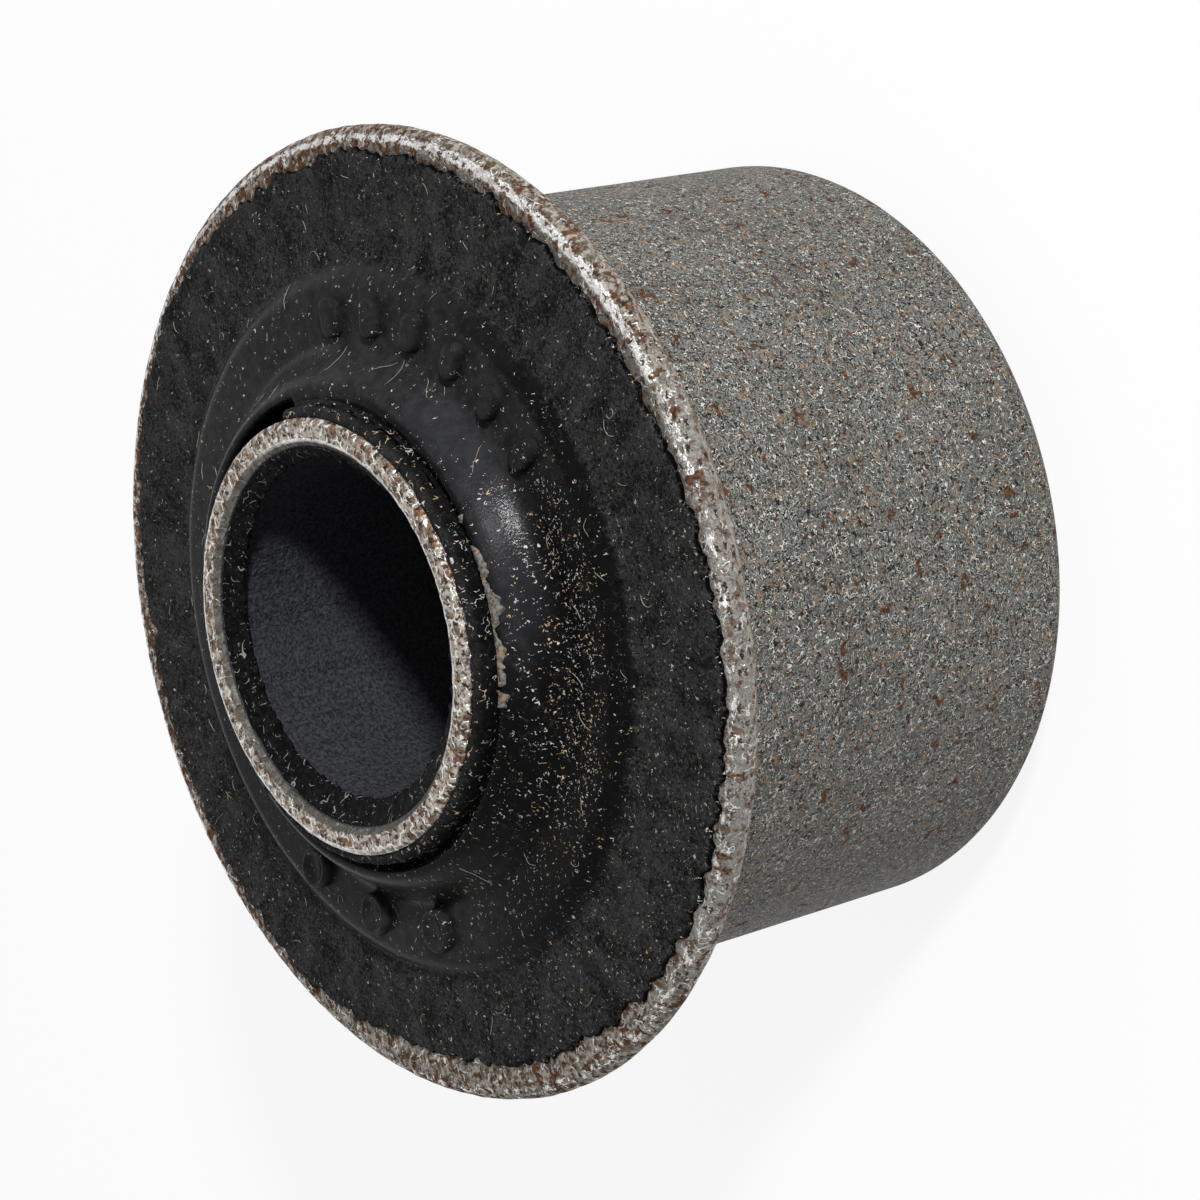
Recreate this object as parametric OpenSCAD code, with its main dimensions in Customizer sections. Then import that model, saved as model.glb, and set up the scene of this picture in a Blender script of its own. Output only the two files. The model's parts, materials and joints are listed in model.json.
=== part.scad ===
// Flanged rubber bushing for a pedal pivot.
// A flanged steel sleeve is pressed into the housing, a steel tube takes the pivot pin,
// and one rubber moulding is bonded to both. The axis is +Z with the flange at the top,
// and the origin is the middle of the tube's rear end, on which the bushing stands.

/* [Outer sleeve] */
// Outside diameter of the sleeve, which is pressed into the housing
sleeve_d = 46.5; // [43:0.1:70]
// Length of the sleeve, from its rear end to the front of the flange
sleeve_len = 31.5; // [20:0.5:60]
// Wall of the sleeve and of the flange
sleeve_wall = 2; // [1.2:0.1:3.2]
// How far the flange reaches out past the sleeve
flange_reach = 5.45; // [4:0.05:12]
// Radius of the bend under the flange
bend_r = 1; // [0.5:0.1:2]
// Radius of the rounded lead-in at the rear end
lead_r = 1.5; // [0.4:0.1:2.5]

/* [Inner sleeve] */
// Bore for the pivot pin
tube_bore_d = 22.1; // [14:0.1:25]
// Wall of the tube
tube_wall = 1.65; // [1.2:0.05:3]
// How far the tube stands out in front of the flange
tube_front = 5.4; // [4.6:0.1:12]
// How far the tube stands out behind the sleeve
tube_rear = 3.1; // [1:0.1:8]
// Chamfer at both ends of the bore
bore_chamfer = 0.4; // [0.1:0.05:0.8]
// Break on the outer edge of both ends
tube_break = 0.25; // [0.1:0.05:0.6]

/* [Rubber at the front] */
// Flat bare steel left between the rubber facing and the round rim
bare_flat = 0.5; // [0.2:0.05:1.5]
// Thickness of the rubber facing on the flange
facing_t = 0.35; // [0.2:0.05:1]
// Height of the raised step over the facing
step_h = 0.9; // [0.5:0.1:1.4]
// How far inside the sleeve's bore the step starts
step_inset = 0.4; // [0:0.1:1.5]
// Width of the rounded shoulder of the step
step_run = 1.3; // [0.6:0.1:2]
// Height of the round bead over the step
bead_h = 2.85; // [1:0.05:3.2]
// Width of the bead's outer slope
bead_run = 2.75; // [1.5:0.05:4]
// Depth of the valley between the bead and the collar
valley_depth = 0.8; // [0.1:0.05:1]
// Width of the valley, from the collar to the top of the bead
valley_run = 0.7; // [0.4:0.05:2]
// Wall of the collar round the tube
collar_wall = 0.65; // [0.4:0.05:1.2]
// How far the collar ends below the front end of the tube
collar_drop = 0.3; // [0.2:0.05:1]

/* [Tear in the collar] */
// Direction in which the torn stretch starts, in degrees round the axis
tear_start = 0; // [-90:1:90]
// How far the torn stretch runs round the axis, in degrees
tear_sweep = 62; // [10:1:120]
// How far the tear goes out past the collar, into the side of the bead
tear_reach = 0.4; // [0.1:0.05:0.6]
// How far the tear goes down below the valley
tear_depth = 1.4; // [0.2:0.1:1.8]

/* [Rubber at the rear] */
// How far the rubber ends inside the rear of the sleeve
rear_inset = 1.2; // [0.5:0.1:4]
// Depth of the round relief in the rear face
relief_depth = 3; // [1:0.1:3.4]
// Flat lip left on each side of the relief
relief_lip = 0.9; // [0.4:0.1:1.5]

/* [Hidden] */
$fn = 96;
steps = 10;
cut_clear = 0.1;

sleeve_r = sleeve_d / 2;
sleeve_bore_r = sleeve_r - sleeve_wall;
flange_r = sleeve_r + flange_reach;
lead = min(lead_r, 0.8 * sleeve_wall);
tube_bore_r = tube_bore_d / 2;
tube_r = tube_bore_r + tube_wall;
collar_r = tube_r + collar_wall;
collar_round = 0.8 * collar_wall;
bead_r = collar_r + valley_run;
rim_r = flange_r - sleeve_wall / 2;
facing_r = rim_r - bare_flat;
step_r = sleeve_bore_r - step_inset;

sleeve_rear_z = tube_rear;
flange_front_z = sleeve_rear_z + sleeve_len;
flange_back_z = flange_front_z - sleeve_wall;
bend_z = flange_back_z - bend_r;
tube_end_z = flange_front_z + tube_front;
facing_z = flange_front_z + facing_t;
step_z = facing_z + step_h;
bead_z = step_z + bead_h;
valley_z = bead_z - valley_depth;
collar_z = tube_end_z - collar_drop;
rubber_rear_z = sleeve_rear_z + rear_inset;

// Round stretch of an outline about a centre, between two angles
function arc(centre, radius, from, to) =
    [for (i = [0 : steps]) let (a = from + (to - from) * i / steps) centre + radius * [cos(a), sin(a)]];

// Slope that leaves one point level and arrives level at the other
function slope(from, to) =
    [for (i = [0 : steps]) let (t = i / steps)
        [from.x + (to.x - from.x) * t, from.y + (to.y - from.y) * (1 - cos(180 * t)) / 2]];

// Rounded shoulder that leaves its foot steeply and arrives level at the other point
function shoulder(from, to) =
    [for (i = [0 : steps]) let (a = 90 * i / steps)
        [from.x + (to.x - from.x) * (1 - cos(a)), from.y + (to.y - from.y) * sin(a)]];

// Hollow between two points on one level, as deep as stated
function hollow(from, to, depth) =
    let (half = (to.x - from.x) / 2)
    let (radius = (half * half + depth * depth) / (2 * depth))
    let (centre = [from.x + half, from.y + depth - radius])
    let (reach = atan2(half, radius - depth))
    arc(centre, radius, 90 + reach, 90 - reach);

// Bond line between steel and rubber at the front: up the sleeve's bore and out over the bend
bend_centre = [sleeve_r + bend_r, bend_z];
bond_line = arc(bend_centre, bend_r + sleeve_wall, 180, 90);

// Section of the drawn sleeve, one wall thick from the lead-in to the full-round rim
function sleeve_section() = concat(
    [[sleeve_bore_r, sleeve_rear_z]],
    arc([sleeve_r - lead, sleeve_rear_z + lead], lead, -90, 0),
    arc(bend_centre, bend_r, 180, 90),
    arc([rim_r, flange_front_z - sleeve_wall / 2], sleeve_wall / 2, -90, 90),
    [for (i = [steps : -1 : 0]) bond_line[i]]
);

// Section of the moulding: relief at the rear, bond line, facing, step, bead, valley and collar
function rubber_section() = concat(
    [[tube_r, rubber_rear_z]],
    hollow([tube_r + relief_lip, rubber_rear_z], [sleeve_bore_r - relief_lip, rubber_rear_z], relief_depth),
    [[sleeve_bore_r, rubber_rear_z]],
    bond_line,
    arc([facing_r - facing_t, flange_front_z], facing_t, 0, 90),
    shoulder([step_r, facing_z], [step_r - step_run, step_z]),
    slope([bead_r + bead_run, step_z], [bead_r, bead_z]),
    slope([bead_r, bead_z], [collar_r, valley_z]),
    arc([collar_r - collar_round, collar_z - collar_round], collar_round, 0, 90),
    [[tube_r, collar_z]]
);

// Half section of the tube with its ends chamfered inside and broken outside
function tube_section() = [
    [tube_bore_r + bore_chamfer, 0],
    [tube_r - tube_break, 0],
    [tube_r, tube_break],
    [tube_r, tube_end_z - tube_break],
    [tube_r - tube_break, tube_end_z],
    [tube_bore_r + bore_chamfer, tube_end_z],
    [tube_bore_r, tube_end_z - bore_chamfer],
    [tube_bore_r, bore_chamfer]
];

// Stretch of the collar that has torn off the tube
module tear() {
    floor_z = valley_z - tear_depth;
    rotate([0, 0, tear_start])
        rotate_extrude(angle = tear_sweep)
            translate([tube_r - cut_clear, floor_z])
                square([collar_wall + tear_reach + cut_clear, tube_end_z - floor_z]);
}

module outer_sleeve() {
    color("#8a8a86") rotate_extrude() polygon(sleeve_section());
}

module rubber_body() {
    color("#232325") difference() {
        rotate_extrude() polygon(rubber_section());
        tear();
    }
}

module inner_sleeve() {
    color("#b4b1aa") rotate_extrude() polygon(tube_section());
}

outer_sleeve();
rubber_body();
inner_sleeve();
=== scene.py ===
"""Looks of the flanged rubber bushing: turned meshes over the solids, finishes, camera and light."""
import json
import math
import random

import bpy
import numpy as np
from mathutils import Matrix, Vector, noise


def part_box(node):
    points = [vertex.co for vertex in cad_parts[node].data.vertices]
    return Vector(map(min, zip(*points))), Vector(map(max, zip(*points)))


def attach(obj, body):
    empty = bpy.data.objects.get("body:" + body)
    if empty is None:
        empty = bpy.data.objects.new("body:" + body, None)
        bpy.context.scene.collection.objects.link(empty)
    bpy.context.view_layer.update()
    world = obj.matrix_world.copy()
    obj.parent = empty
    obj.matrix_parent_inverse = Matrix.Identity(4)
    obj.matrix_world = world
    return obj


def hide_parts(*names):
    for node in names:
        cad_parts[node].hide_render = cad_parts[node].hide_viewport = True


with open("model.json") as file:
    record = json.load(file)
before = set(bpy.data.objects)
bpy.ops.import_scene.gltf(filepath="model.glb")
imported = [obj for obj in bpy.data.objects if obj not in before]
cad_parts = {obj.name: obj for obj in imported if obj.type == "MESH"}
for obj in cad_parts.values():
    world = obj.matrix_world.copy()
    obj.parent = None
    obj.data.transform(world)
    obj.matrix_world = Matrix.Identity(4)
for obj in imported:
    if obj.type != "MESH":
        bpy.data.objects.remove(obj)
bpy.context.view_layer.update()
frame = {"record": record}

# Sizes in millimetres, read from the frame where it has them
MM = 0.001
mounts = {m["name"]: m for m in frame["record"]["mounts"]}
BORE_R = mounts["pin_bore"]["dims"]["r_mm"]
SLEEVE_R = mounts["housing_press"]["dims"]["r_mm"]
TUBE_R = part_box("inner_sleeve")[1].x / MM
TUBE_END_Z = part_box("inner_sleeve")[1].z / MM
FLANGE_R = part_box("outer_sleeve")[1].x / MM
SLEEVE_REAR_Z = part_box("outer_sleeve")[0].z / MM
FLANGE_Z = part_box("outer_sleeve")[1].z / MM
FACING_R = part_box("rubber_body")[1].x / MM
RUBBER_REAR_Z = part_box("rubber_body")[0].z / MM
COLLAR_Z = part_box("rubber_body")[1].z / MM

# Sizes that the frame doesn't state, as in the part's source
SLEEVE_WALL = 2.0
BEND_R = 1.0
LEAD_R = 1.5
BORE_CHAMFER = 0.4
TUBE_BREAK = 0.25
FACING_T = 0.35
STEP_H = 0.9
STEP_INSET = 0.4
STEP_RUN = 1.3
BEAD_H = 2.85
BEAD_RUN = 2.75
VALLEY_DEPTH = 0.8
VALLEY_RUN = 0.7
COLLAR_WALL = 0.65
COLLAR_ROUND = 0.8 * COLLAR_WALL
TEAR_START = 0.0
TEAR_SWEEP = 62.0
TEAR_REACH = 0.4
TEAR_DEPTH = 1.4
RELIEF_DEPTH = 3.0
RELIEF_LIP = 0.9

SLEEVE_BORE_R = SLEEVE_R - SLEEVE_WALL
BEND_CENTRE = (SLEEVE_R + BEND_R, FLANGE_Z - SLEEVE_WALL - BEND_R)
RIM_R = FLANGE_R - SLEEVE_WALL / 2
RIM_Z = FLANGE_Z - SLEEVE_WALL / 2
COLLAR_R = TUBE_R + COLLAR_WALL
BEAD_R = COLLAR_R + VALLEY_RUN
STEP_R = SLEEVE_BORE_R - STEP_INSET
FACING_Z = FLANGE_Z + FACING_T
STEP_Z = FACING_Z + STEP_H
BEAD_Z = STEP_Z + BEAD_H
VALLEY_Z = BEAD_Z - VALLEY_DEPTH

# Sizes that only the looks have
# Segments of each turned piece round the axis
SEGMENTS = 720
# How far the foot of the step runs out onto the facing
STEP_FOOT = 0.35
# Flash in the bore: depths of its top, tip and bottom, reach into the bore and thickness at the tip
FLASH_TOP = 0.45
FLASH_TIP = 1.15
FLASH_DEPTH = 2.1
FLASH_REACH = 1.15
FLASH_TIP_T = 0.12
# First direction and pitch in degrees, number, width, length and dish of the pads in each arc
MARK_ARCS = ((-66.0, 12.0, 6, 1.35, 2.4, 0.0), (137.5, 19.0, 3, 2.3, 2.7, 0.22))
MARK_R = 18.0
MARK_H = 0.6
# Height over the surface and inset of a pad's rings, from its foot to the rim of its top
MARK_RINGS = ((-0.1, -0.04), (0.06, 0.0), (MARK_H - 0.1, 0.03), (MARK_H, 0.14), (MARK_H, 0.28))
MARK_DISH_INSET = 0.48
# Directions in degrees and radii of the ragged edge of the facing
EDGE = (
    (-180, 26.3), (-158, 26.7), (-133, 27.55), (-105, 27.85),
    (-88, 27.5), (-72, 27.15), (-37, 27.2), (-22, 27.2),
    (10, 26.9), (39, 27.45), (63, 27.0), (82, 26.6),
    (111, 26.9), (137, 27.1), (163, 26.0), (180, 26.3),
)
# Start and end in degrees, inner radius and width of each piece of crust
FLAKES = ((-69.3, -71.3, 13.75, 0.5), (-76.6, -109.5, 13.75, 0.75), (-110.5, -114.3, 13.8, 0.85))
# Fibres: number, radius, length of one step, bend and wander per step in radians, height over the rubber
LINT_COUNT = 90
LINT_R = 0.017
LINT_STEP = 0.16
LINT_BEND = 0.22
LINT_WANDER = 0.25
LINT_LIFT = 0.06

# The photograph's camera, fitted to the outlines of the flange, the tube and the sleeve
CAMERA_AT = (0.0, -171.77, 157.74)
CAMERA_AIM = (-1.26, -17.03, 33.6)
CAMERA_ROLL = -103.24
CAMERA_LENS = 109.26

# Lamps: direction from the flange, distance and size in metres, power in watts
KEY_LAMP = ((0.448, -0.763, 0.466), 0.8, 0.08, 4.8)
TOP_LAMP = ((0.95, -0.15, 0.28), 0.8, 0.16, 0.45)
# Strength of the light from all around, and share and strength of the plain white that the floor shows
WORLD_STRENGTH = 0.24
FLOOR_SHARE = 0.8
FLOOR_STRENGTH = 1.1


# Outlines
def arc(centre, radius, start, end, steps=10):
    """Round stretch about a centre between two angles in degrees."""
    turns = np.radians(np.linspace(start, end, steps + 1))
    return [(centre[0] + radius * math.cos(t), centre[1] + radius * math.sin(t)) for t in turns]


def slope(start, end, steps=14, early=1.0):
    """Stretch between two points, level at both ends. It rises sooner with early below 1."""
    points = []
    for t in np.linspace(0, 1, steps + 1):
        rise = (1 - math.cos(math.pi * t ** early)) / 2
        points.append((start[0] + (end[0] - start[0]) * t, start[1] + (end[1] - start[1]) * rise))
    return points


def hollow(start, end, depth, steps=16):
    """Round hollow between two points on one level."""
    half = (end[0] - start[0]) / 2
    radius = (half * half + depth * depth) / (2 * depth)
    reach = math.degrees(math.atan2(half, radius - depth))
    return arc((start[0] + half, start[1] + depth - radius), radius, 90 + reach, 90 - reach, steps)


def fillet(corners, steps=5):
    """Closed outline with each corner (r, z, radius) rounded."""
    points = []
    for i, (x, z, radius) in enumerate(corners):
        here = Vector((x, z))
        before = (Vector(corners[i - 1][:2]) - here).normalized()
        after = (Vector(corners[(i + 1) % len(corners)][:2]) - here).normalized()
        half = before.angle(after) / 2
        middle = here + (before + after).normalized() * (radius / math.sin(half))
        first = here + before * (radius / math.tan(half)) - middle
        sweep = math.pi - 2 * half
        turn = 1 if before.cross(after) < 0 else -1
        for k in range(steps + 1):
            a = turn * sweep * k / steps
            c, s = math.cos(a), math.sin(a)
            points.append((middle.x + first.x * c - first.y * s, middle.y + first.x * s + first.y * c))
    return points


def densify(points, spacing):
    """Closed outline with points added, so that no stretch is longer than spacing gives for its middle."""
    out = []
    for a, b in zip(points, points[1:] + points[:1]):
        length = math.dist(a, b)
        if length < 1e-6:
            continue
        parts = max(1, math.ceil(length / spacing((a[0] + b[0]) / 2, (a[1] + b[1]) / 2)))
        out += [(a[0] + (b[0] - a[0]) * k / parts, a[1] + (b[1] - a[1]) * k / parts) for k in range(parts)]
    return out


# Meshes
def mesh_piece(name, vertices, faces, material):
    """New smooth-shaded object from millimetre vertices, riding on the part."""
    data = bpy.data.meshes.new(name)
    data.from_pydata([tuple(v) for v in np.asarray(vertices) * MM], [], faces)
    data.shade_smooth()
    data.update()
    piece = bpy.data.objects.new(name, data)
    bpy.context.scene.collection.objects.link(piece)
    piece.data.materials.append(material)
    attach(piece, "root")
    return piece


def turned(name, outline, shape, material):
    """Closed outline turned about the axis. shape(r, z, turn) moves its points and returns new r and z."""
    r, z = np.array(outline).T
    turn = np.linspace(0, 2 * math.pi, SEGMENTS, endpoint=False)
    radii, turns = np.meshgrid(r, turn)
    heights = np.broadcast_to(z, radii.shape)
    radii, heights = shape(radii, heights, turns)
    vertices = np.stack([radii * np.cos(turns), radii * np.sin(turns), heights], axis=-1).reshape(-1, 3)
    count = len(r)
    ring = np.arange(SEGMENTS)[:, None] * count
    after = np.roll(ring, -1, axis=0)
    here, nearby = np.arange(count), np.roll(np.arange(count), -1)
    faces = np.stack([ring + here, after + here, after + nearby, ring + nearby], axis=-1).reshape(-1, 4)
    return mesh_piece(name, vertices, faces.tolist(), material)


def rough(r, z, turn, scale, seed):
    """Smooth noise over a turned surface, about -1 to 1, with features of about 1 / scale millimetres."""
    x, y = r * np.cos(turn) * scale, r * np.sin(turn) * scale
    up = z * scale + 37.0 * seed
    flat = zip(x.ravel().tolist(), y.ravel().tolist(), up.ravel().tolist())
    return np.array([noise.noise(p) for p in flat]).reshape(r.shape)


def ease(low, high, value):
    """0 below low, 1 above high and smooth between."""
    t = np.clip((value - low) / (high - low), 0, 1)
    return t * t * (3 - 2 * t)


# Materials
class Finish:
    """Short way to write a material's nodes. Places are in millimetres in the part's frame."""

    def __init__(self, name):
        self.material = bpy.data.materials.new(name)
        self.material.use_nodes = True
        self.tree = self.material.node_tree
        self.shader = self.tree.nodes["Principled BSDF"]
        where = self.tree.nodes.new("ShaderNodeTexCoord").outputs["Object"]
        self.place = self.vector("SCALE", where, scale=1 / MM)
        parts = self.tree.nodes.new("ShaderNodeSeparateXYZ")
        self.tree.links.new(self.place, parts.inputs[0])
        self.x, self.y, self.z = parts.outputs
        square = self.calc("MULTIPLY_ADD", self.y, self.y, self.calc("MULTIPLY", self.x, self.x))
        self.r = self.calc("SQRT", square)
        self.turn = self.calc("ARCTAN2", self.y, self.x)

    def put(self, socket, value):
        """Link a socket, or give it a constant."""
        if isinstance(value, bpy.types.NodeSocket):
            self.tree.links.new(value, socket)
        else:
            socket.default_value = value

    def calc(self, operation, a, b=0.0, c=0.0):
        """One step of arithmetic."""
        node = self.tree.nodes.new("ShaderNodeMath")
        node.operation = operation
        for socket, value in zip(node.inputs, (a, b, c)):
            self.put(socket, value)
        return node.outputs[0]

    def vector(self, operation, a, b=(0, 0, 0), scale=None):
        """One step of arithmetic on places."""
        node = self.tree.nodes.new("ShaderNodeVectorMath")
        node.operation = operation
        self.put(node.inputs[0], a)
        if scale is None:
            self.put(node.inputs[1], b)
        else:
            node.inputs["Scale"].default_value = scale
        return node.outputs[0]

    def flat(self, a, b):
        """Flat place from two values."""
        node = self.tree.nodes.new("ShaderNodeCombineXYZ")
        self.put(node.inputs[0], a)
        self.put(node.inputs[1], b)
        return node.outputs[0]

    def plan(self):
        """Flat place as seen along the axis."""
        return self.flat(self.x, self.y)

    def wrap(self, radius):
        """Flat place on a wall of the given radius rolled out, and on a face that meets it."""
        return self.flat(self.calc("MULTIPLY", self.turn, radius), self.calc("ADD", self.z, self.r))

    def brushed(self, radius, stretch):
        """Place that is drawn out along the radius."""
        return self.flat(self.calc("MULTIPLY", self.turn, radius), self.calc("DIVIDE", self.r, stretch))

    def facing_to(self, degrees, low, high):
        """1 on the side of the axis in a direction; low and high are cosines of the angles where it fades."""
        angle = self.calc("SUBTRACT", self.turn, math.radians(degrees))
        return self.step(self.calc("COSINE", angle), low, high)

    def noise(self, scale, detail=2.0, roughness=0.5, distortion=0.0, output="Fac", at=None):
        """Noise with features of about 1 / scale millimetres."""
        node = self.tree.nodes.new("ShaderNodeTexNoise")
        self.put(node.inputs["Vector"], at or self.place)
        node.inputs["Scale"].default_value = scale
        node.inputs["Detail"].default_value = detail
        node.inputs["Roughness"].default_value = roughness
        node.inputs["Distortion"].default_value = distortion
        return node.outputs[output]

    def lines(self, scale, width):
        """Thin curled lines, where a noise passes its middle value."""
        gap = self.calc("ABSOLUTE", self.calc("SUBTRACT", self.noise(scale, 1.0), 0.5))
        return self.step(gap, width, 0.3 * width)

    def curls(self, scale, width):
        """Thin curled lines in pairs, a light one and a dark one beside it: a painted highlight with painted
        shade beside it, as on a raised curl.
        """
        value = self.noise(scale, 1.0)
        light = self.band(value, 0.5 + 0.2 * width, 0.5 + width, 0.4 * width)
        dark = self.band(value, 0.5 - width, 0.5 - 0.2 * width, 0.4 * width)
        return light, dark

    def shaken(self, at, scale, ragged):
        """Place pushed about by noise, so that cells 1 / scale across get ragged borders."""
        push = self.vector("SUBTRACT", self.noise(2.5 * scale, 0.0, output="Color"), (0.5, 0.5, 0.5))
        return self.vector("ADD", at, self.vector("SCALE", push, scale=ragged / scale))

    def cells(self, at, scale, ragged, feature="F1"):
        """Cells 1 / scale across on a flat place."""
        node = self.tree.nodes.new("ShaderNodeTexVoronoi")
        node.voronoi_dimensions = "2D"
        node.feature = feature
        self.put(node.inputs["Vector"], self.shaken(at, scale, ragged) if ragged else at)
        node.inputs["Scale"].default_value = scale
        return node.outputs

    def spots(self, at, scale, share, small, large, ragged=0.0):
        """Separate spots: a share of the cells hold one, sized in cells."""
        cells = self.cells(at, scale, ragged)
        chance = self.tree.nodes.new("ShaderNodeSeparateColor")
        self.tree.links.new(cells["Color"], chance.inputs[0])
        chosen = self.calc("LESS_THAN", chance.outputs[0], share)
        reach = self.fit(chance.outputs[1], small, large)
        near = self.step(self.calc("DIVIDE", cells["Distance"], reach), 1.0, 0.55)
        return self.times(chosen, near)

    def ridges(self, at, scale, width, ragged=0.0):
        """Net of lines along the borders of the cells."""
        return self.step(self.cells(at, scale, ragged, "DISTANCE_TO_EDGE")["Distance"], width, 0.3 * width)

    def step(self, value, low, high):
        """0 up to low, 1 from high on and smooth between. low may be above high."""
        node = self.tree.nodes.new("ShaderNodeMapRange")
        node.interpolation_type = "SMOOTHSTEP"
        rising = low < high
        self.put(node.inputs["Value"], value)
        node.inputs["From Min"].default_value = low if rising else high
        node.inputs["From Max"].default_value = high if rising else low
        node.inputs["To Min"].default_value = 0.0 if rising else 1.0
        node.inputs["To Max"].default_value = 1.0 if rising else 0.0
        return node.outputs["Result"]

    def fit(self, value, low, high):
        """A 0 to 1 value spread from low to high."""
        return self.calc("MULTIPLY_ADD", value, high - low, low)

    def band(self, value, low, high, soft):
        """1 between low and high, fading over soft outside them."""
        return self.times(self.step(value, low - soft, low), self.step(value, high + soft, high))

    def without(self, value):
        """What a 0 to 1 value leaves of 1."""
        return self.calc("SUBTRACT", 1.0, value)

    def times(self, first, *others):
        """Product of masks and numbers."""
        for other in others:
            first = self.calc("MULTIPLY", first, other)
        return first

    def most(self, first, *others):
        """Largest of several masks."""
        for other in others:
            first = self.calc("MAXIMUM", first, other)
        return first

    def mix(self, factor, a, b):
        """Colour that goes from a to b."""
        node = self.tree.nodes.new("ShaderNodeMix")
        node.data_type = "RGBA"
        self.put(node.inputs["Factor"], factor)
        for socket, value in zip([s for s in node.inputs if s.type == "RGBA"], (a, b)):
            self.put(socket, value if isinstance(value, bpy.types.NodeSocket) else (*value, 1.0))
        return next(s for s in node.outputs if s.type == "RGBA")

    def bump(self, height, depth):
        """Normal for a 0 to 1 height that stands for depth millimetres."""
        node = self.tree.nodes.new("ShaderNodeBump")
        node.inputs["Distance"].default_value = depth * MM
        self.put(node.inputs["Height"], height)
        return node.outputs[0]

    def done(self, colour, roughness, normal, metallic, specular, coat=0.0):
        """Material with the shader filled in."""
        self.put(self.shader.inputs["Base Color"], colour)
        self.put(self.shader.inputs["Roughness"], roughness)
        self.put(self.shader.inputs["Normal"], normal)
        self.put(self.shader.inputs["Metallic"], metallic)
        self.shader.inputs["Specular IOR Level"].default_value = specular
        self.put(self.shader.inputs["Coat Weight"], coat)
        self.put(self.shader.inputs["Coat Normal"], normal)
        self.shader.inputs["Coat Roughness"].default_value = COAT_ROUGHNESS
        return self.material


def grey(level, warm=0.0):
    """Grey of a linear level; warm takes away blue and a little green."""
    return (level, level * (1 - 0.25 * warm), level * (1 - warm))


COAT_ROUGHNESS = 0.13

# Colours of the sleeve, as linear red, green and blue. A pair is a dark tone and a light one
GRAIN = ((0.042, 0.044, 0.041), (0.300, 0.304, 0.284))
STAIN = grey(0.085, 0.2)
CURL_SHADE_AND_CRACK = (0.006, 0.006, 0.005)
CURL_HIGHLIGHT = (0.800, 0.780, 0.715)
WARM_LINE = (0.360, 0.215, 0.110)
GLINT = (0.820, 0.810, 0.760)
PIT = grey(0.006, 0.1)
BARE_STEEL = ((0.120, 0.096, 0.074), (0.430, 0.392, 0.340))
RIM_GREY = (0.400, 0.390, 0.360)
RIM_FILM = ((0.090, 0.086, 0.078), (0.210, 0.204, 0.190))
RIM_SCRAPE_AND_HIGHLIGHT = (0.780, 0.775, 0.765)
RIM_LINE = (0.480, 0.420, 0.350)
RIM_HOLE = (0.022, 0.011, 0.007)
RUST = ((0.036, 0.015, 0.008), (0.215, 0.083, 0.028))

# Colours of the tube
END_STEEL = ((0.095, 0.075, 0.058), (0.500, 0.455, 0.395))
END_RUST = ((0.036, 0.015, 0.008), (0.290, 0.125, 0.052))
END_RIDGE = (0.820, 0.800, 0.770)
END_HOLE = (0.022, 0.014, 0.010)
CHAMFER = (grey(0.035, 0.2), grey(0.160, 0.15))
BRIGHT_EDGE = (0.820, 0.810, 0.790)
BORE_SATIN = ((0.022, 0.023, 0.027), (0.074, 0.076, 0.089))
BLACKENED_AND_SHADE = (grey(0.006), grey(0.016))

# Colours of the rubber. The dust is pale in places and warm in others
SMOOTH_RUBBER = ((0.0155, 0.0157, 0.0165), (0.0275, 0.0279, 0.0295))
COARSE_RUBBER = (grey(0.0036), grey(0.0540))
RUBBER_PAINTED_SHADE = grey(0.0014)
PAINTED_SHEEN = (0.060, 0.063, 0.078)
SCUFF = grey(0.110, 0.05)
DUST = ((0.84, 0.82, 0.77), (0.86, 0.62, 0.37))
TORN_RUBBER = (grey(0.002), grey(0.011))
TORN_STREAK = grey(0.46, 0.03)

# Colours of the crust and of the fibres, which are pale or yellowish
CRUST = ((0.055, 0.050, 0.043), (0.245, 0.230, 0.205))
CRUST_WARM = (0.42, 0.28, 0.15)
LINT_TONES = ((0.56, 0.54, 0.51), (0.50, 0.38, 0.24))


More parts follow.
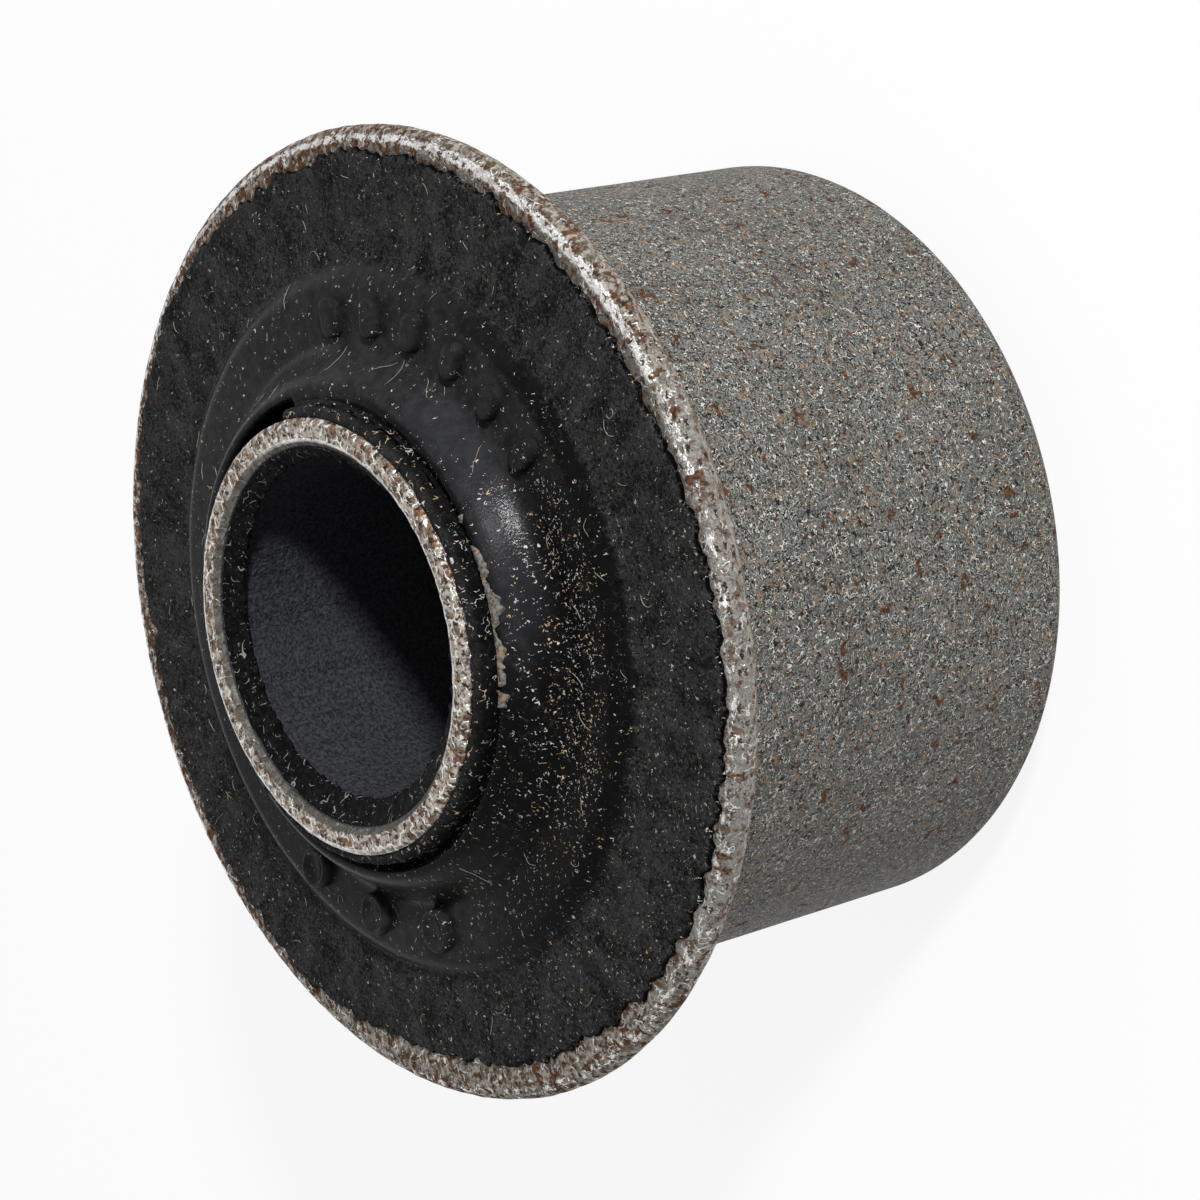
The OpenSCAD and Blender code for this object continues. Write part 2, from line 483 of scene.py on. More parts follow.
def sleeve_finish():
    """Grey coated steel with curled grain, pits and rust, with wear at the flange's rim down to bright pitted
    metal. The curls are a painted highlight with painted shade beside them, the glints are painted, and the
    rim's crest holds a painted highlight.
    """
    f = Finish("sleeve_steel")
    skin = f.wrap(SLEEVE_R)
    grain = f.noise(8.0, 2.0, 0.6)
    colour = f.mix(f.step(grain, 0.32, 0.68), *GRAIN)
    colour = f.mix(f.times(f.step(f.noise(0.16, 3.0), 0.40, 0.66), 0.30), colour, STAIN)
    light, dark = f.curls(3.5, 0.048)
    broken = f.step(f.noise(2.6, 1.0), 0.46, 0.53)
    seams = f.times(f.lines(3.6, 0.045), f.step(f.noise(2.1, 1.0), 0.50, 0.57))
    dark = f.most(f.times(dark, broken), seams)
    # Painted shade beside the curls, with dark cracks along the seams, then the curls' painted highlight
    colour = f.mix(f.times(dark, 0.95), colour, CURL_SHADE_AND_CRACK)
    colour = f.mix(f.times(light, broken), colour, CURL_HIGHLIGHT)
    warm = f.times(f.lines(2.1, 0.042), f.step(f.noise(1.4, 2.0), 0.50, 0.57))
    colour = f.mix(f.times(warm, 0.70), colour, WARM_LINE)
    loose = f.shaken(skin, 1.7, 0.7)
    # Painted glints: small bright specks
    glints = f.spots(loose, 2.0, 0.40, 0.06, 0.16)
    colour = f.mix(f.times(glints, 0.85), colour, GLINT)
    pits = f.spots(loose, 1.6, 0.50, 0.07, 0.23)
    colour = f.mix(f.times(pits, 0.95), colour, PIT)
    # The flange: angle over its round rim, from the outside to the front, and a place drawn out along the rim
    over = f.calc("ARCTAN2", f.calc("SUBTRACT", f.z, RIM_Z), f.calc("SUBTRACT", f.r, RIM_R))
    along = f.flat(f.times(f.turn, 0.6 * RIM_R), over)
    over = f.calc("MULTIPLY_ADD", f.calc("SUBTRACT", f.noise(1.9, 3.0, 0.6), 0.5), 0.7, over)
    out_here = f.step(f.r, RIM_R - 0.6, RIM_R - 0.2)
    front = f.times(f.step(f.z, FLANGE_Z - 0.12, FLANGE_Z - 0.02), f.step(f.r, SLEEVE_R, SLEEVE_R + 2))
    rim = f.most(f.times(out_here, f.step(over, -0.9, -0.5)), front)
    # Side where the crest's painted highlight is strongest
    highlight_side = f.facing_to(-15, 0.30, 0.75)
    rusty_side = f.facing_to(50, 0.10, 0.55)
    grainy_side = f.facing_to(-105, 0.70, 0.92)
    metal = f.noise(2.2, 4.0, 0.7)
    bare = f.mix(f.step(metal, 0.40, 0.60), *BARE_STEEL)
    colour = f.mix(f.times(rim, f.fit(grainy_side, 1.0, 0.45)), colour, bare)
    colour = f.mix(f.times(rim, grainy_side, 0.40), colour, RIM_GREY)
    film = f.times(front, f.facing_to(-48, 0.70, 0.90), f.step(over, 1.55, 1.70))
    colour = f.mix(f.times(film, 0.75), colour, f.mix(metal, *RIM_FILM))
    # Scraped bright along the crest, where it is also a painted highlight, strongest on the highlight side,
    # and in scattered lines elsewhere, with a thin light line round the outside
    bare_and_highlight_side = f.most(highlight_side, f.times(rusty_side, 0.8))
    scraped_and_highlight = f.calc("MULTIPLY_ADD", bare_and_highlight_side, 0.125, f.noise(2.4, 4.0, 0.7, at=along))
    crest = f.step(f.calc("MULTIPLY_ADD", rusty_side, -0.20, over), 0.80, 0.92)
    worn_and_highlight = f.times(crest, f.step(over, 1.48, 1.36), out_here, f.step(scraped_and_highlight, 0.53, 0.58))
    worn_and_highlight = f.most(worn_and_highlight, f.times(rim, f.lines(1.7, 0.035), f.step(f.noise(1.3, 2.0), 0.50, 0.58)))
    colour = f.mix(f.times(worn_and_highlight, 0.95), colour, RIM_SCRAPE_AND_HIGHLIGHT)
    outline = f.times(f.band(over, -0.40, -0.24, 0.08), out_here, f.step(metal, 0.36, 0.46))
    colour = f.mix(f.times(outline, 0.7), colour, RIM_LINE)
    holes = f.times(rim, f.spots(along, 2.3, 0.60, 0.08, 0.38, ragged=0.8))
    colour = f.mix(f.times(holes, 0.92), colour, RIM_HOLE)
    # Rust: scattered spots on the sleeve, patches on the flange
    spots = f.spots(skin, 0.62, 0.28, 0.06, 0.24, ragged=0.8)
    often = f.fit(f.facing_to(0, 0.1, 0.9), 0.55, 0.95)
    spots = f.most(spots, f.spots(loose, 1.5, often, 0.07, 0.25))
    inward = f.times(rusty_side, f.step(over, 1.35, 1.55))
    blotch = f.calc("MULTIPLY_ADD", f.most(inward, f.times(rusty_side, 0.3)), 0.06, f.noise(1.5, 3.0, 0.65))
    patches = f.times(f.step(blotch, 0.53, 0.59), f.without(f.times(worn_and_highlight, 0.6)))
    rust = f.most(spots, f.times(patches, rim, f.fit(grainy_side, 1.0, 0.7)))
    tone = f.step(f.noise(5.2, 2.0, 0.6), 0.36, 0.66)
    colour = f.mix(f.times(rust, 0.90), colour, f.mix(tone, *RUST))
    raised = f.calc("ADD", grain, f.times(light, broken, 0.6))
    height = f.calc("SUBTRACT", raised, f.times(dark, 0.5))
    roughness = f.calc("MULTIPLY_ADD", rust, 0.25, f.fit(worn_and_highlight, 0.55, 0.34))
    shine = f.times(f.calc("MULTIPLY_ADD", worn_and_highlight, 0.45, f.fit(rim, 0.04, 0.35)), f.without(rust))
    return f.done(colour, roughness, f.bump(height, 0.09), shine, 0.1)


def tube_finish():
    """Bare pitted end faces with ridges and rust, a dark satin bore, and an outside blackened by rubber and
    by painted shade where it shows in the torn gap.
    """
    f = Finish("tube_steel")
    face = f.plan()
    inside = f.step(f.r, BORE_R + 0.10, BORE_R + 0.03)
    middle = f.calc("ABSOLUTE", f.calc("SUBTRACT", f.z, TUBE_END_Z / 2))
    below = f.step(middle, TUBE_END_Z / 2 - 0.45, TUBE_END_Z / 2 - 0.6)
    outside = f.times(f.step(f.r, TUBE_R - 0.1, TUBE_R - 0.03), below)
    metal = f.noise(3.0, 3.0, 0.7)
    colour = f.mix(f.step(metal, 0.36, 0.56), *END_STEEL)
    patches = f.step(f.noise(1.5, 3.0, 0.65), 0.52, 0.58)
    rust = f.most(f.spots(face, 1.1, 0.40, 0.14, 0.44, ragged=0.8), patches)
    tone = f.step(f.noise(4.1, 2.0), 0.35, 0.65)
    colour = f.mix(f.times(rust, 0.88), colour, f.mix(tone, *END_RUST))
    ridges = f.times(f.ridges(face, 1.3, 0.12, ragged=0.45), f.step(f.noise(1.9, 1.0), 0.44, 0.54))
    colour = f.mix(f.times(ridges, 0.95), colour, END_RIDGE)
    holes = f.spots(face, 1.9, 0.75, 0.10, 0.42, ragged=0.8)
    colour = f.mix(f.times(holes, 0.9), colour, END_HOLE)
    # Smooth grey chamfer, and patchy bright bands on the outer edge at one side and beside the chamfer at the
    # other
    chamfer = f.step(f.r, BORE_R + 0.46, BORE_R + 0.36)
    colour = f.mix(f.times(chamfer, 0.85), colour, f.mix(metal, *CHAMFER))
    left = f.times(f.band(f.r, TUBE_R - 0.34, TUBE_R - 0.05, 0.08), f.facing_to(110, 0.1, 0.6))
    right = f.times(f.band(f.r, BORE_R + 0.34, BORE_R + 0.48, 0.08), f.facing_to(-60, 0.1, 0.6))
    bright = f.times(f.most(left, right), f.step(metal, 0.34, 0.44))
    colour = f.mix(f.times(bright, 0.85), colour, BRIGHT_EDGE)
    satin = f.mix(f.step(f.noise(5.0, 2.0, 0.6), 0.3, 0.7), *BORE_SATIN)
    colour = f.mix(inside, colour, satin)
    # Blackened outside: rubber residue, and painted shade where it shows in the torn gap
    colour = f.mix(outside, colour, f.mix(metal, *BLACKENED_AND_SHADE))
    height = f.calc("SUBTRACT", f.calc("ADD", metal, f.times(ridges, 0.6)), holes)
    clear = f.without(f.most(inside, outside))
    shine = f.times(f.calc("SUBTRACT", 0.75, f.times(rust, 0.5)), clear)
    return f.done(colour, f.fit(inside, 0.38, 0.6), f.bump(height, 0.07), shine, 0.08)


def rubber_finish():
    """Matt black rubber with dust on it: fibrous facing, smoother step and bead, rough collar."""
    f = Finish("moulded_rubber")
    front = f.step(f.z, FLANGE_Z - 0.3, FLANGE_Z)
    blurred = f.calc("MULTIPLY_ADD", f.calc("SUBTRACT", f.noise(1.3, 2.0), 0.5), 0.8, f.r)
    facing = f.times(f.step(blurred, STEP_R - 0.25, STEP_R + 0.30), front)
    collar = f.times(f.step(f.r, COLLAR_R + 0.25, COLLAR_R + 0.05), front)
    fibre = f.noise(1.5, 3.0, 0.65, 1.6, at=f.brushed(24.0, 1.8))
    felt = f.noise(4.6, 3.0, 0.7, 0.8)
    fine = f.noise(6.5, 1.0)
    smooth = f.mix(f.step(f.noise(1.4, 3.0), 0.35, 0.65), *SMOOTH_RUBBER)
    fold = f.noise(0.55, 2.0, at=f.brushed(24.0, 2.0))
    matted = f.calc("ADD", f.calc("ADD", f.times(fibre, 0.16), f.times(felt, 0.56)), f.times(fold, 0.28))
    coarse = f.mix(f.step(matted, 0.40, 0.61), *COARSE_RUBBER)
    colour = f.mix(f.most(facing, f.times(collar, 0.5)), smooth, coarse)
    # Painted shade: blacker rubber on the shoulder, the step beside the bead, the bead's foot and the valley
    # on one side, in the torn stretch, and along the edge of the facing all round
    shoulder = f.times(f.band(f.r, STEP_R - 0.8, STEP_R - 0.1, 0.5), f.facing_to(-125, -0.3, 0.5), front)
    beside = f.times(f.band(f.r, BEAD_R + 1.6, STEP_R - 0.9, 0.8), f.facing_to(-118, 0.50, 0.85), front)
    under = f.times(f.band(f.r, COLLAR_R + 0.1, BEAD_R + 2.2, 0.6), f.facing_to(-145, 0.62, 0.90), front)
    valley = f.times(f.band(f.r, COLLAR_R + 0.05, BEAD_R + 0.15, 0.3), f.facing_to(-85, 0.25, 0.80), front)
    low = f.times(f.step(f.z, BEAD_Z - 0.15, BEAD_Z - 0.3), f.step(f.r, BEAD_R - 0.05, BEAD_R - 0.2))
    torn = f.times(low, f.facing_to(30, 0.80, 0.86), front)
    lip = f.times(f.step(f.z, FACING_Z - 0.04, FACING_Z - 0.16), facing)
    painted_shade_one_side = f.most(f.times(shoulder, 0.85), f.times(f.most(beside, under), 0.88), f.times(valley, 0.8))
    colour = f.mix(f.most(painted_shade_one_side, torn, lip), colour, RUBBER_PAINTED_SHADE)
    scuffs = f.times(f.lines(2.2, 0.034), f.step(f.noise(1.5, 1.0), 0.49, 0.56), f.fit(facing, 0.3, 1.0))
    colour = f.mix(f.times(scuffs, 0.5), colour, SCUFF)
    curls = f.times(f.lines(3.3, 0.045), f.step(f.noise(1.1, 2.0), 0.46, 0.60), facing)
    colour = f.mix(f.times(curls, 0.50), colour, SCUFF)
    # Painted sheen: a lighter bluish band on the outer slope of the bead, on one side
    painted_sheen = f.times(f.band(f.r, BEAD_R + 1.2, BEAD_R + 1.5, 1.0), f.facing_to(-70, 0.78, 0.99), front)
    colour = f.mix(f.times(painted_sheen, 0.24), colour, PAINTED_SHEEN)
    # Dust: fine specks all over, more on one side, thick beside the bead, and white shreds on the collar
    dense = f.times(f.band(f.r, BEAD_R + 2.0, STEP_R - 2.2, 1.6), f.facing_to(-103, 0.72, 0.97), front)
    heaped = f.times(dense, f.step(f.noise(0.9, 2.0), 0.34, 0.58))
    fallen = f.facing_to(-130, 0.10, 0.85)
    loose = f.shaken(f.plan(), 2.4, 0.9)
    sprinkle = f.spots(loose, 1.9, f.fit(heaped, 0.26, 0.90), 0.03, 0.11)
    sprinkle = f.most(sprinkle, f.spots(loose, 2.9, f.fit(fallen, 0.06, 0.42), 0.04, 0.13))
    thick = f.spots(loose, 3.8, f.fit(heaped, 0.05, 1.00), 0.05, 0.24)
    shreds = f.times(collar, f.lines(2.2, 0.03), f.step(f.noise(1.9, 1.0), 0.56, 0.62))
    specks = f.times(front, f.most(sprinkle, thick, shreds))
    dust = f.mix(f.step(f.noise(0.8, 1.0), 0.45, 0.62), *DUST)
    colour = f.mix(f.times(specks, 0.92), colour, dust)
    rough_part = f.most(facing, collar)
    felted = f.times(felt, f.fit(rough_part, 0.1, 1.4))
    grained = f.times(fine, f.fit(rough_part, 0.17, 0.15))
    height = f.calc("ADD", f.calc("ADD", felted, grained), f.times(fold, facing, 3.0))
    # A thin clear coat: a highlight on the bead's slope, and sheen on the smooth rubber of the far side
    streak = f.band(f.r, BEAD_R + 1.50, BEAD_R + 1.65, 0.30)
    gloss = f.times(streak, f.facing_to(-79, 0.90, 0.985), front, 0.10)
    sheen = f.times(front, f.without(rough_part), f.facing_to(100, 0.0, 0.6), 0.05)
    roughness = f.fit(rough_part, 0.26, 0.75)
    return f.done(colour, roughness, f.bump(height, 0.09), 0.0, 0.04, f.most(gloss, sheen))


def flash_finish():
    """Torn black rubber film with pale scratches and specks."""
    f = Finish("torn_rubber")
    torn = f.noise(2.4, 3.0, 0.7)
    colour = f.mix(f.step(torn, 0.4, 0.65), *TORN_RUBBER)
    streaks = f.times(f.lines(0.9, 0.014), f.step(f.noise(1.6, 1.0), 0.51, 0.57))
    streaks = f.most(streaks, f.spots(f.wrap(BORE_R), 2.4, 0.60, 0.04, 0.13, ragged=1.0))
    colour = f.mix(f.times(streaks, 0.7), colour, TORN_STREAK)
    return f.done(colour, f.fit(torn, 0.35, 0.7), f.bump(torn, 0.08), 0.0, 0.04)


def flake_finish():
    """Grey-brown crust, grainy, with a few warm specks."""
    f = Finish("crust")
    grain = f.noise(5.0, 2.0, 0.65)
    colour = f.mix(f.step(grain, 0.34, 0.66), *CRUST)
    warm = f.step(f.noise(2.1, 1.0), 0.60, 0.66)
    colour = f.mix(f.times(warm, 0.7), colour, CRUST_WARM)
    return f.done(colour, f.fit(grain, 0.5, 0.8), f.bump(grain, 0.05), 0.0, 0.3)


def lint_finish():
    """Pale fibres, some yellowish."""
    f = Finish("lint")
    colour = f.mix(f.step(f.noise(0.5, 1.0), 0.42, 0.58), *LINT_TONES)
    thread = f.noise(6.0, 1.0)
    return f.done(colour, f.fit(thread, 0.7, 0.9), f.bump(thread, 0.01), 0.0, 0.2)


# Pieces
def make_sleeve(material):
    """The drawn sleeve with its flange, slightly uneven and pitted at the rim."""
    outline = [(SLEEVE_BORE_R + 0.3, SLEEVE_REAR_Z)]
    outline += arc((SLEEVE_R - LEAD_R, SLEEVE_REAR_Z + LEAD_R), LEAD_R, -90, 0)
    outline += arc(BEND_CENTRE, BEND_R, 180, 90, 8)
    outline += arc((RIM_R, RIM_Z), SLEEVE_WALL / 2, -90, 90, 16)
    outline += arc(BEND_CENTRE, BEND_R + SLEEVE_WALL, 90, 180, 8)
    outline += [(SLEEVE_BORE_R, SLEEVE_REAR_Z + 0.3)]

    def spacing(r, z):
        if r > RIM_R - 2:
            return 0.3
        return 0.6 if r > SLEEVE_BORE_R + 0.5 else 4.0

    def shape(r, z, turn):
        rim = ease(RIM_R - 1.5, RIM_R + 0.2, r)
        dent = 0.04 * rough(r, z, turn, scale=1.2, seed=1) + 0.03 * rough(r, z, turn, scale=0.3, seed=2)
        wave = 0.012 * rough(r, z, turn, scale=0.25, seed=3)
        return np.minimum(r + rim * (dent - 0.05) + (1 - rim) * (wave - 0.012), FLANGE_R), z

    piece = turned("flanged_sleeve", densify(outline, spacing), shape, material)
    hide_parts("outer_sleeve")


def make_tube(material):
    """The inner tube, pitted and nibbled at its ends."""
    half = TUBE_END_Z / 2
    corners = [
        (BORE_R, BORE_CHAMFER, 0.15),
        (BORE_R + BORE_CHAMFER, 0, 0.12),
        (TUBE_R - TUBE_BREAK, 0, 0.1),
        (TUBE_R, TUBE_BREAK, 0.1),
        (TUBE_R, TUBE_END_Z - TUBE_BREAK, 0.1),
        (TUBE_R - TUBE_BREAK, TUBE_END_Z, 0.1),
        (BORE_R + BORE_CHAMFER, TUBE_END_Z, 0.12),
        (BORE_R, TUBE_END_Z - BORE_CHAMFER, 0.15),
    ]
    outline = densify(fillet(corners), lambda r, z: 0.14 if abs(z - half) > half - 0.6 else 1.5)

    def shape(r, z, turn):
        end = ease(half - 0.5, half, abs(z - half))
        pit = 0.5 + 0.5 * rough(r, z, turn, scale=1.7, seed=4)
        sunk = end * 0.08 * pit
        bite = 0.5 + rough(r, z, turn, scale=1.1, seed=11)
        nibble = end * ease(TUBE_R - 0.4, TUBE_R, r) * 0.05 * bite
        return r - nibble, np.where(z > half, z - sunk, z + sunk)

    piece = turned("pin_tube", outline, shape, material)
    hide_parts("inner_sleeve")


def front_outline():
    """Front of the moulding from the facing's edge in to the foot of the collar."""
    points = arc((FACING_R - FACING_T, FLANGE_Z), FACING_T, 0, 90, 4)
    points += slope((STEP_R + STEP_FOOT, FACING_Z), (STEP_R - STEP_RUN, STEP_Z), 12, 0.75)
    points += slope((BEAD_R + BEAD_RUN, STEP_Z), (BEAD_R, BEAD_Z), 14)
    points += slope((BEAD_R, BEAD_Z), (COLLAR_R, VALLEY_Z), 6)[1:]
    return points


def front_height(r):
    """Height of the moulding's front at a radius outside the collar."""
    radii, heights = np.array(front_outline()[::-1]).T
    return np.interp(r, radii, heights)


def make_rubber(material):
    """The moulding: ragged facing, step, bead, valley and torn collar in front, round relief behind."""
    outline = [(TUBE_R, RUBBER_REAR_Z)]
    lips = (TUBE_R + RELIEF_LIP, RUBBER_REAR_Z), (SLEEVE_BORE_R - RELIEF_LIP, RUBBER_REAR_Z)
    outline += hollow(*lips, RELIEF_DEPTH)
    outline += [(SLEEVE_BORE_R, RUBBER_REAR_Z)]
    outline += arc(BEND_CENTRE, BEND_R + SLEEVE_WALL, 180, 90, 6)
    outline += front_outline()
    outline += arc((COLLAR_R - COLLAR_ROUND, COLLAR_Z - COLLAR_ROUND), COLLAR_ROUND, 0, 90, 5)
    outline += [(TUBE_R, COLLAR_Z)]
    outline = densify(outline, lambda r, z: 0.24 if z > FLANGE_Z + 0.1 and r > TUBE_R + 0.05 else 4.0)

    def shape(r, z, turn):
        front = ease(FLANGE_Z, FLANGE_Z + 0.2, z)
        facing = front * ease(STEP_R, STEP_R + 0.8, r)
        # Teeth and bites along the facing's uneven edge
        edge = ease(FACING_R - 2.2, FACING_R, r)
        border, level = np.full_like(r, FACING_R), np.zeros_like(r)
        signed = np.degrees(turn + math.pi) % 360 - 180
        uneven = np.interp(signed, *np.array(EDGE).T) - FACING_R
        teeth = 0.30 * rough(border, level, turn, scale=2.4, seed=5)
        teeth += 0.55 * rough(border, level, turn, scale=0.8, seed=6)
        new_r = r + edge * (uneven + teeth)
        lumps = 0.05 * rough(r, z, turn, scale=0.9, seed=7) + 0.035 * rough(r, z, turn, scale=2.2, seed=8)
        new_z = z + facing * lumps
        # The valley is half filled beside the tear
        filled = ease(-80, -25, signed) * (signed < 0)
        filled = filled * (0.7 + 0.1 * rough(r, level, turn, scale=1.2, seed=18))
        new_z = new_z + front * filled * ease(BEAD_R, COLLAR_R, r) * (r > COLLAR_R - 0.01) * (z < BEAD_Z)
        # The collar is rough
        in_collar = (r < COLLAR_R + 0.01) & (z > FLANGE_Z)
        collar = in_collar * ease(VALLEY_Z + 0.2, COLLAR_Z, z)
        new_z = new_z + collar * (0.12 * rough(r, z, turn, scale=1.6, seed=9) - 0.08)
        new_r = new_r + in_collar * (r > TUBE_R + 0.1) * 0.10 * rough(r, z, turn, scale=1.4, seed=12)
        # One stretch of it is torn out, down into the side of the bead, which curls up a little
        ahead = np.degrees(turn) - TEAR_START
        torn = ease(0, 2.0, ahead) * (1 - ease(TEAR_SWEEP - 14, TEAR_SWEEP, ahead))
        ragged = COLLAR_R + TEAR_REACH + 0.08 * rough(border, level, turn, scale=1.5, seed=10)
        gone = (r < ragged) & (z > FLANGE_Z)
        floor = VALLEY_Z - TEAR_DEPTH + 0.15 * rough(r, level, turn, scale=1.3, seed=17)
        lip = 0.14 * torn * ease(BEAD_R + 0.7, BEAD_R - 0.2, r) * (z > FLANGE_Z)
        new_z = np.where(gone, new_z + torn * np.minimum(floor - new_z, 0), new_z + lip)
        return np.minimum(new_r, FLANGE_R - 0.6), np.minimum(new_z, COLLAR_Z)

    piece = turned("rubber_moulding", outline, shape, material)
    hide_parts("rubber_body")


def make_bore_flash(material):
    """Torn lip of rubber just inside the front of the bore, thin and ragged at its inner edge."""
    top = TUBE_END_Z - FLASH_TOP
    tip = TUBE_END_Z - FLASH_TIP
    bottom = TUBE_END_Z - FLASH_DEPTH
    back = BORE_R + 0.06
    outline = [(back, bottom), (back, top), (BORE_R - 0.05, top), (BORE_R - FLASH_REACH, tip)]
    outline += [(BORE_R - FLASH_REACH, tip - FLASH_TIP_T), (BORE_R - 0.15, bottom)]
    outline = densify(outline, lambda r, z: 0.16 if r < BORE_R else 2.0)

    def shape(r, z, turn):
        border, level = np.full_like(r, BORE_R), np.zeros_like(r)
        inward = ease(BORE_R, BORE_R - FLASH_REACH, r)
        teeth = 0.30 * rough(border, level, turn, scale=2.0, seed=13)
        teeth += 0.14 * rough(border, level, turn, scale=0.5, seed=14)
        wider = 0.38 * np.cos(turn - math.radians(150))
        uneven = 0.07 * rough(r, z, turn, scale=1.3, seed=16)
        rise = 0.12 * rough(border, level, turn, scale=0.9, seed=15)
        return r - inward * (teeth + wider), z + uneven * (r < BORE_R) + (1 - inward) * rise

    turned("bore_flash", outline, shape, material)


def make_mould_marks(material):
    """Raised plain pads on the step, in the two arcs where such mouldings are marked."""
    vertices, faces = [], []
    round_end = np.radians(np.linspace(-90, 90, 9))
    size = 2 * len(round_end)
    for start, pitch, count, width, length, dish in MARK_ARCS:
        rings = MARK_RINGS + ((MARK_H - dish, MARK_DISH_INSET),)
        reach = (length - width) / 2
        for k in range(count):
            middle = math.radians(start + k * pitch)
            first = len(vertices)
            for height, inset in rings:
                half_w = width / 2 - inset
                along = reach + half_w * np.cos(round_end)
                along = np.concatenate([along, -along])
                across = np.concatenate([half_w * np.sin(round_end), -half_w * np.sin(round_end)])
                x = (MARK_R + along) * math.cos(middle) - across * math.sin(middle)
                y = (MARK_R + along) * math.sin(middle) + across * math.cos(middle)
                z = front_height(np.hypot(x, y)) + height
                vertices += list(zip(x, y, z))
            for ring in range(len(rings) - 1):
                a = first + ring * size
                pairs = [(i, (i + 1) % size) for i in range(size)]
                faces += [(a + i, a + j, a + size + j, a + size + i) for i, j in pairs]
            faces.append(tuple(first + i for i in reversed(range(size))))
            faces.append(tuple(first + (len(rings) - 1) * size + i for i in range(size)))
    mesh_piece("mould_marks", vertices, faces, material)


def make_flake_strip(material):
    """Broken crust that lies in the valley between the bead and the collar."""
    vertices, faces = [], []
    across = np.linspace(0, 1, 7)
    for start, end, inner, width in FLAKES:
        count = max(8, int((start - end) * 4))
        first = len(vertices)
        for k, degrees in enumerate(np.linspace(start, end, count)):
            turn = math.radians(degrees)
            taper = math.sqrt(max(0.0, 1 - abs(2 * k / (count - 1) - 1) ** 6)) * 0.9 + 0.1
            wobble = noise.noise((degrees * 0.4, 3.0, 0.0))
            swell = 0.8 * noise.noise((degrees * 0.17, 0.0, 0.0))
            fray = 0.3 * noise.noise((degrees * 0.7, 5.0, 0.0))
            wide = width * taper * (0.85 + swell + fray)
            r = inner + 0.16 * wobble + across * max(wide, 0.12)
            rise = 0.14 + 0.06 * noise.noise((degrees * 1.1, 9.0, 0.0))
            top = front_height(r) + rise * np.sqrt(np.clip(1 - (2 * across - 1) ** 4, 0, 1))
            under = front_height(r) - 0.08
            for z in (top, under):
                vertices += list(zip(r * math.cos(turn), r * math.sin(turn), z))
        half = len(across)
        size = 2 * half
        loop = list(range(half)) + list(range(size - 1, half - 1, -1))
        for k in range(count - 1):
            a = first + k * size
            pairs = zip(loop, loop[1:] + loop[:1])
            faces += [(a + i, a + j, a + size + j, a + size + i) for i, j in pairs]
        faces.append(tuple(first + i for i in reversed(loop)))
        faces.append(tuple(first + (count - 1) * size + i for i in loop))
    mesh_piece("flake_strip", vertices, faces, material)


def make_lint(material):
    """Curled fibres that lie on the front of the rubber."""
    draw = random.Random(7)
    vertices, faces = [], []
    corners = np.radians([90, 210, 330])
    for _ in range(LINT_COUNT):
        r, turn = draw.uniform(BEAD_R + 0.5, FACING_R - 0.8), draw.uniform(0, 2 * math.pi)
        at = Vector((r * math.cos(turn), r * math.sin(turn)))
        heading, curl = draw.uniform(0, 2 * math.pi), draw.gauss(0, LINT_BEND)
        points, steps = [], draw.randint(4, 10)
        for _ in range(steps):
            points.append(at.copy())
            heading += curl + draw.gauss(0, LINT_WANDER)
            at = at + Vector((math.cos(heading), math.sin(heading))) * LINT_STEP
        if not all(BEAD_R + 0.3 < p.length < FACING_R - 0.5 for p in points):
            continue
        first = len(vertices)
        for k, p in enumerate(points):
            ahead = (points[min(k + 1, steps - 1)] - points[max(k - 1, 0)]).normalized()
            thick = LINT_R * (0.45 if k in (0, steps - 1) else 1.0)
            height = front_height(p.length) + LINT_LIFT
            for c in corners:
                side = thick * math.cos(c)
                vertices.append((p.x - ahead.y * side, p.y + ahead.x * side, height + thick * math.sin(c)))
        for k in range(steps - 1):
            a = first + 3 * k
            faces += [(a + i, a + (i + 1) % 3, a + 3 + (i + 1) % 3, a + 3 + i) for i in range(3)]
        faces.append((first + 2, first + 1, first))
        last = first + 3 * (steps - 1)
        faces.append((last, last + 1, last + 2))
    mesh_piece("lint", vertices, faces, material)


# Stage
def look(at, aim, roll):
    """Placement at a point, looking at another, turned about the line of sight by roll degrees."""
    at, aim = Vector(at) * MM, Vector(aim) * MM
    turn = (aim - at).to_track_quat("-Z", "Y").to_matrix().to_4x4()
    return Matrix.Translation(at) @ turn @ Matrix.Rotation(math.radians(roll), 4, "Z")


def make_camera():
    """Camera at the photograph's place."""
    data = bpy.data.cameras.new("camera")
    data.lens = CAMERA_LENS
    data.sensor_width = 36.0
    data.clip_start = 0.01
    camera = bpy.data.objects.new("camera", data)
    bpy.context.scene.collection.objects.link(camera)
    camera.matrix_world = look(CAMERA_AT, CAMERA_AIM, CAMERA_ROLL)
    bpy.context.scene.camera = camera


def make_lamp(name, direction, distance, size, power):
    """Square soft lamp that shines at the part from a direction."""
    data = bpy.data.lights.new(name, "AREA")
    data.size = size
    data.energy = power
    lamp = bpy.data.objects.new(name, data)
    bpy.context.scene.collection.objects.link(lamp)
    middle = Vector((0, 0, FLANGE_Z))
    lamp.matrix_world = look(middle + Vector(direction).normalized() * distance / MM, middle, 0)


def seen_directly(tree):
    """1 for rays from the camera and for mirror-like or see-through rays, 0 for the rest."""
    path = tree.nodes.new("ShaderNodeLightPath")
    either = path.outputs["Is Camera Ray"]
    for ray in ("Is Glossy Ray", "Is Transmission Ray"):
        node = tree.nodes.new("ShaderNodeMath")
        node.operation = "MAXIMUM"
        tree.links.new(either, node.inputs[0])
        tree.links.new(path.outputs[ray], node.inputs[1])
        either = node.outputs[0]
    return either


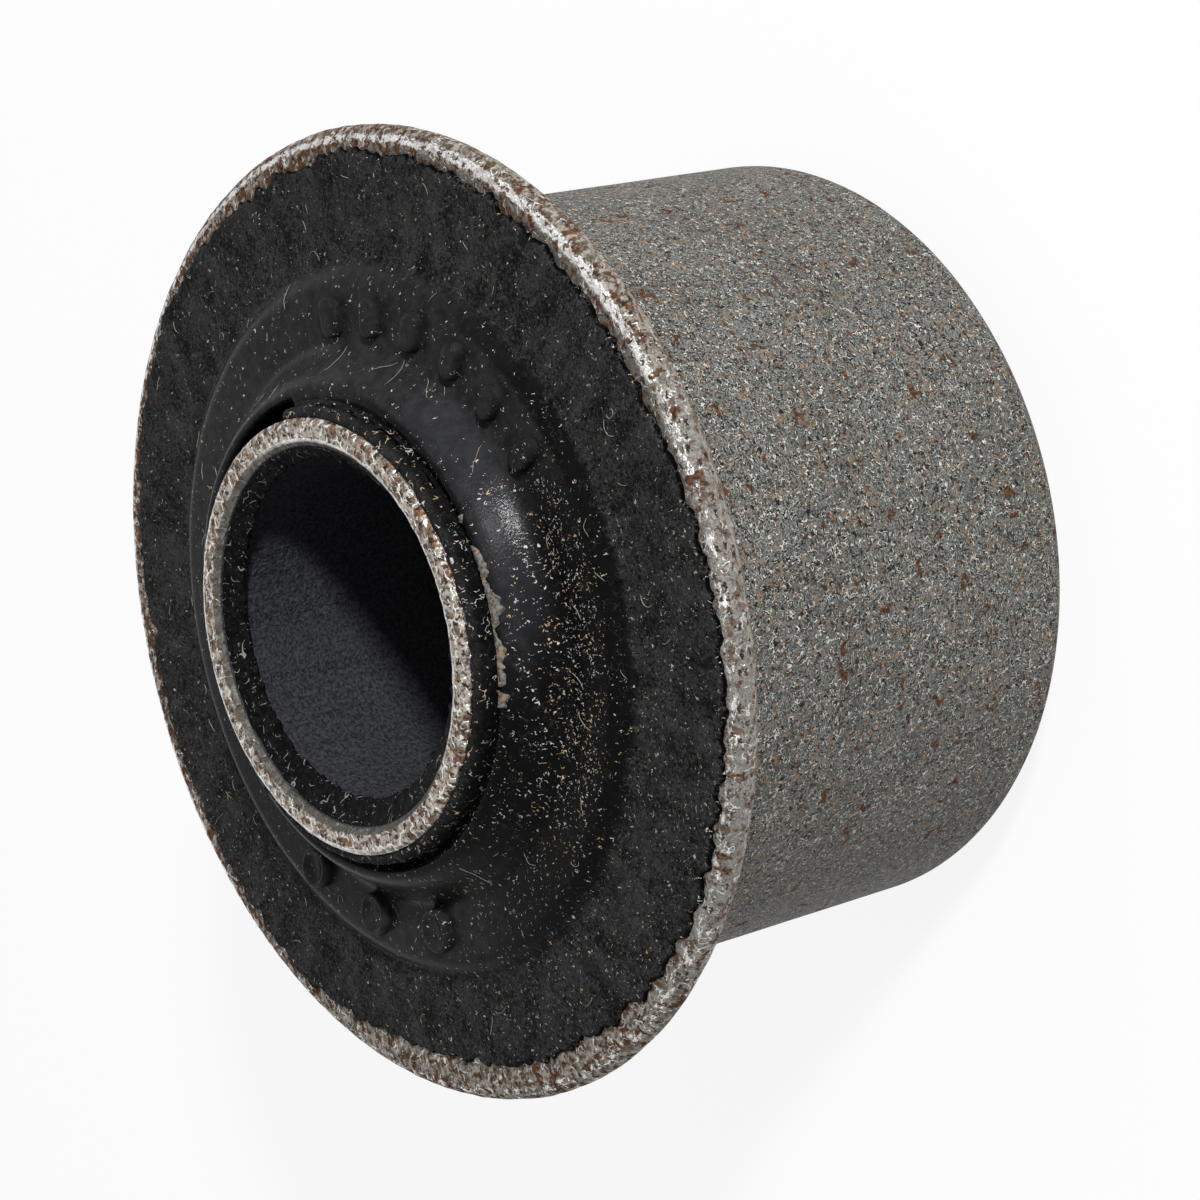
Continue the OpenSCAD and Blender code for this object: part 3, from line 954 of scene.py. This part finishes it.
def make_world(strength):
    """Even white light of the given strength, seen as plain white."""
    world = bpy.data.worlds.new("studio")
    bpy.context.scene.world = world
    world.use_nodes = True
    tree = world.node_tree
    node = tree.nodes.new("ShaderNodeMapRange")
    node.inputs["To Min"].default_value = strength
    node.inputs["To Max"].default_value = 1.0
    tree.links.new(seen_directly(tree), node.inputs["Value"])
    background = tree.nodes["Background"]
    background.inputs["Color"].default_value = (1, 1, 1, 1)
    tree.links.new(node.outputs["Result"], background.inputs["Strength"])


def make_floor(share, strength):
    """Pale floor that keeps the shadow, seen mixed with a share of plain white of the given strength."""
    size = 3.0
    data = bpy.data.meshes.new("floor")
    corners = [(-size, -size, 0), (size, -size, 0), (size, size, 0), (-size, size, 0)]
    data.from_pydata(corners, [], [(0, 1, 2, 3)])
    floor = bpy.data.objects.new("floor", data)
    bpy.context.scene.collection.objects.link(floor)
    material = bpy.data.materials.new("floor")
    material.use_nodes = True
    tree = material.node_tree
    shader = tree.nodes["Principled BSDF"]
    shader.inputs["Base Color"].default_value = (0.86, 0.86, 0.86, 1)
    shader.inputs["Roughness"].default_value = 0.9
    shader.inputs["Specular IOR Level"].default_value = 0.0
    white = tree.nodes.new("ShaderNodeEmission")
    white.inputs["Strength"].default_value = strength
    mix = tree.nodes.new("ShaderNodeMixShader")
    factor = tree.nodes.new("ShaderNodeMath")
    factor.operation = "MULTIPLY"
    factor.inputs[1].default_value = share
    tree.links.new(seen_directly(tree), factor.inputs[0])
    tree.links.new(factor.outputs[0], mix.inputs["Fac"])
    tree.links.new(shader.outputs[0], mix.inputs[1])
    tree.links.new(white.outputs[0], mix.inputs[2])
    tree.links.new(mix.outputs[0], tree.nodes["Material Output"].inputs["Surface"])
    data.materials.append(material)


rubber = rubber_finish()
make_sleeve(sleeve_finish())
make_tube(tube_finish())
make_rubber(rubber)
make_mould_marks(rubber)
make_bore_flash(flash_finish())
make_flake_strip(flake_finish())
make_lint(lint_finish())

make_camera()
make_world(WORLD_STRENGTH)
make_floor(FLOOR_SHARE, FLOOR_STRENGTH)
make_lamp("key", *KEY_LAMP)
make_lamp("top", *TOP_LAMP)
bpy.context.scene.view_settings.view_transform = "Standard"
